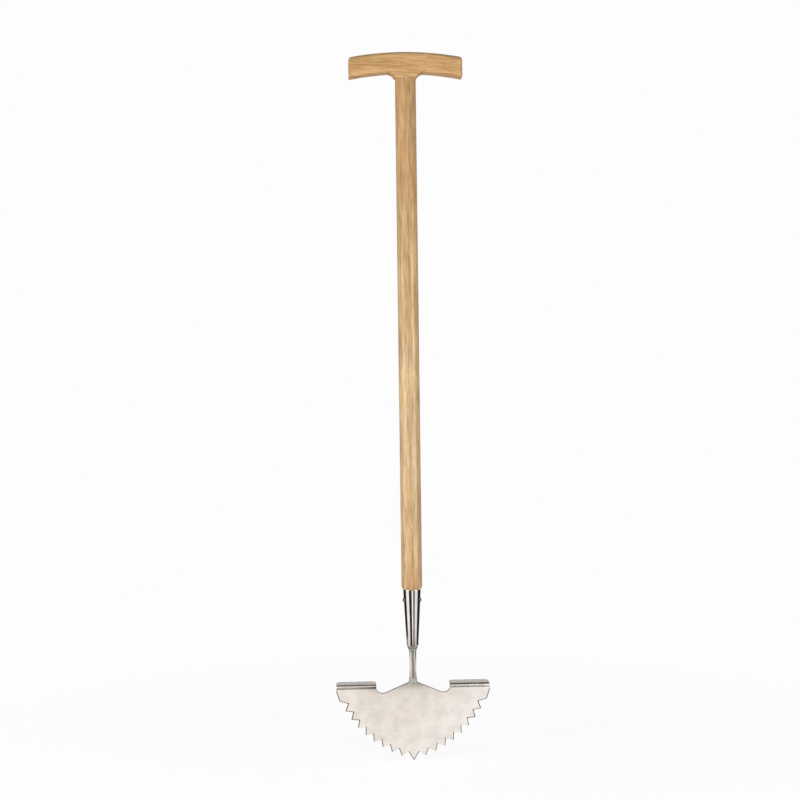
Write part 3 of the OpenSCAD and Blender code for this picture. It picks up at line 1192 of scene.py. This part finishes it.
@dataclass
class Studio:
    """Camera, floor, lamps and cards around the part. Lengths are in metres."""

    distance: float = 2.0
    height: float = 0.504
    aside: float = -0.0132
    view_w: float = 1.12
    roll: float = 0.745
    turn: float = -2.5
    sensor: float = 36.0
    white: float = 0.983
    fill: float = 0.38
    floor_size: float = 12.0
    floor_grey: float = 0.85
    floor_share: float = 0.3
    floor_level: float = 0.5
    floor_fade: Span = (0.35, 0.9)
    card_steps: int = 12

    def camera(self) -> None:
        """Set the camera in front of the part and a little to its left, level with its middle."""
        data = bpy.data.cameras.new("camera")
        data.sensor_width = self.sensor
        data.lens = self.sensor * self.distance / self.view_w
        camera = bpy.data.objects.new("camera", data)
        turn = Matrix.Rotation(math.radians(self.turn), 3, "Z")
        camera.location = turn @ Vector((self.aside, -self.distance, self.height))
        camera.rotation_euler = [math.radians(angle) for angle in (90, self.roll, self.turn)]
        bpy.context.scene.collection.objects.link(camera)
        bpy.context.scene.camera = camera

    def seen_white(self, tree: Tree) -> Socket:
        """Say in a tree whether a ray shows the background: seen, mirrored or let through.

        Args:
            tree: Tree of the floor or the world.

        Returns:
            One where the background shows, else zero.
        """
        path = tree.add("ShaderNodeLightPath").outputs
        shown = tree.math("MAXIMUM", path["Is Camera Ray"], path["Is Glossy Ray"])
        return tree.math("MAXIMUM", shown, path["Is Transmission Ray"])

    def world(self) -> None:
        """Light the room evenly and show it white behind the part."""
        world = bpy.data.worlds.new("studio")
        bpy.context.scene.world = world
        tree = Tree.blank(world)
        plain = tree.add("ShaderNodeBackground", {"Color": WHITE, "Strength": self.fill})
        shown = tree.add("ShaderNodeBackground", {"Color": WHITE, "Strength": self.white})
        ends = {0: self.seen_white(tree), 1: plain.outputs[0], 2: shown.outputs[0]}
        both = tree.add("ShaderNodeMixShader", ends)
        tree.add("ShaderNodeOutputWorld", {"Surface": both.outputs[0]})

    def floor(self) -> None:
        """Lay the pale floor, which keeps the part's shadow near its foot."""
        Bench.clear()
        bpy.ops.mesh.primitive_plane_add(size=self.floor_size)
        floor = Bench.added("floor")
        material = bpy.data.materials.new("pale_floor")
        tree = Tree.blank(material)
        lit = tree.add("ShaderNodeBsdfDiffuse", {"Color": (self.floor_grey,) * 3 + (1,)})
        pale = tree.add("ShaderNodeBsdfDiffuse", {"Color": (self.floor_share,) * 3 + (1,)})
        rest = self.white - self.floor_share * self.floor_level
        glow = tree.add("ShaderNodeEmission", {"Strength": rest})
        near = tree.add("ShaderNodeAddShader", {0: pale.outputs[0], 1: glow.outputs[0]})
        far = tree.add("ShaderNodeEmission", {"Strength": self.white})
        place = tree.add("ShaderNodeTexCoord").outputs["Object"]
        reach = tree.add("ShaderNodeVectorMath", {0: place}, operation="LENGTH").outputs["Value"]
        fade = tree.remap(reach, self.floor_fade)
        seen = tree.add("ShaderNodeMixShader", {0: fade, 1: near.outputs[0], 2: far.outputs[0]})
        ends = {0: self.seen_white(tree), 1: lit.outputs[0], 2: seen.outputs[0]}
        both = tree.add("ShaderNodeMixShader", ends)
        tree.add("ShaderNodeOutputMaterial", {"Surface": both.outputs[0]})
        floor.data.materials.append(material)

    def lamp(
        self, name: str, place: Place, aim: Place, size: Span, power: float, spread: float = 180.0
    ) -> None:
        """Hang a soft lamp.

        Args:
            name: Name of the lamp.
            place: Where it hangs.
            aim: Point that it faces.
            size: Width and height.
            power: Its power in watts.
            spread: Width of its beam in degrees.
        """
        data = bpy.data.lights.new(name, "AREA")
        data.shape = "RECTANGLE"
        data.size, data.size_y = size
        data.energy = power
        data.spread = math.radians(spread)
        lamp = bpy.data.objects.new(name, data)
        lamp.location = place
        lamp.rotation_euler = (Vector(aim) - Vector(place)).to_track_quat("-Z", "Y").to_euler()
        lamp.visible_glossy = False
        bpy.context.scene.collection.objects.link(lamp)

    def card(self, name: str, span: Span, radius: float, levels: Span, grey: float) -> None:
        """Stand a curved card that only shows in polished metal.

        Args:
            name: Name of the card.
            span: First and last bearing in degrees, to the right of the camera's side.
            radius: Distance from the shaft.
            levels: Lowest and highest level.
            grey: How light it is.
        """
        steps = self.card_steps
        points = []
        for i in range(steps + 1):
            bearing = math.radians(self.turn + span[0] + (span[1] - span[0]) * i / steps)
            points.append((radius * math.sin(bearing), -radius * math.cos(bearing)))
        mesh = bpy.data.meshes.new(name)
        verts = [(x, y, z) for z in levels for x, y in points]
        row = steps + 1
        mesh.from_pydata(verts, [], [(i, i + 1, row + i + 1, row + i) for i in range(steps)])
        self.hang(name, mesh, grey)

    def hang(self, name: str, mesh: bpy.types.Mesh, grey: float) -> None:
        """Put a card into the room, in view of polished metal alone.

        Args:
            name: Name of the card.
            mesh: Its mesh.
            grey: How light it is.
        """
        card = bpy.data.objects.new(name, mesh)
        bpy.context.scene.collection.objects.link(card)
        material = bpy.data.materials.new(name)
        tree = Tree.blank(material)
        tone = tree.add("ShaderNodeEmission", {"Color": (grey, grey, grey, 1), "Strength": 1.0})
        tree.add("ShaderNodeOutputMaterial", {"Surface": tone.outputs[0]})
        mesh.materials.append(material)
        card.visible_camera = card.visible_diffuse = False
        card.visible_shadow = card.visible_transmission = False

    def roof(self, name: str, width: Span, depth: Span, level: float, grey: float) -> None:
        """Hang a flat card overhead that only shows in polished metal.

        Args:
            name: Name of the card.
            width: Its left and right side.
            depth: Its near and far side.
            level: Height above the floor.
            grey: How light it is.
        """
        mesh = bpy.data.meshes.new(name)
        corners = [(x, y, level) for y in depth for x in width]
        mesh.from_pydata(corners, [], [(0, 1, 3, 2)])
        self.hang(name, mesh, grey)

    def build(self) -> None:
        """Set the view, the room and the lamps."""
        bpy.context.scene.view_settings.view_transform = "Standard"
        self.world()
        self.floor()
        self.lamp("left_lamp", (-1.75, -1.0, 0.26), (0, 0, 0.55), (1.0, 0.4), 19.5)
        self.lamp("right_lamp", (1.15, -1.6, 0.26), (0, 0, 0.55), (1.0, 0.4), 14.5)
        self.lamp("low_lamp", (0, -0.8, 0.05), (0, 0, 0.97), (1.2, 0.4), 0.8, spread=60)
        cards = (
            ("left_card", (-150, -84), 0.4, (0.076, 0.19), 0.02),
            ("left_wall", (-150, -84), 0.4, (0.19, 1.15), 0.2),
            ("right_card", (79, 150), 0.4, (0.068, 0.19), 0.02),
            ("right_wall", (79, 150), 0.4, (0.19, 1.15), 0.25),
            ("back_card", (150, 210), 1.0, (0.0, 0.58), 0.54),
            ("high_card", (120, 240), 1.0, (0.58, 0.8), 0.03),
            ("upper_card", (120, 240), 1.0, (0.8, 1.8), 0.15),
            ("left_strip", (-40, -4), 0.1, (0.126, 0.24), 0.03),
            ("left_foot", (-38, -7), 0.1, (0.085, 0.126), 0.38),
            ("middle_foot", (-7, 18), 0.1, (0.085, 0.126), 0.24),
            ("right_strip", (13, 38), 0.1, (0.126, 0.24), 0.17),
            ("right_foot", (18, 40), 0.1, (0.085, 0.126), 0.42),
            ("right_side", (40, 80), 0.3, (0.05, 0.09), 0.5),
            ("camera_card", (-14, 26), 1.9, (0.12, 1.0), 0.2),
            ("front_card", (-50, 50), 1.95, (1.0, 3.4), 0.53),
            ("left_shade", (-78, -46), 0.2, (0.1, 0.218), 0.95),
            ("right_shade", (46, 78), 0.2, (0.1, 0.218), 0.82),
            ("left_glow", (-76, -50), 0.42, (0.19, 0.8), 5.4),
            ("right_glow", (42, 63), 0.42, (0.19, 0.8), 8.2),
        )
        roofs = (
            ("left_roof", (-1.2, 0.0), (-0.1, 1.2), 1.8, 0.16),
            ("right_roof", (0.0, 1.2), (-0.45, 1.2), 1.8, 0.05),
        )
        for card in cards:
            self.card(*card)
        for roof in roofs:
            self.roof(*roof)


def main() -> None:
    """Build the studio and every piece of the tool."""
    logging.basicConfig(level=logging.INFO, format="%(name)s: %(message)s")
    studio = Studio()
    studio.camera()
    Handle().build()
    SocketJoint().build()
    Blade().build()
    studio.build()
    Bench.clear()


if __name__ == "__main__":
    main()
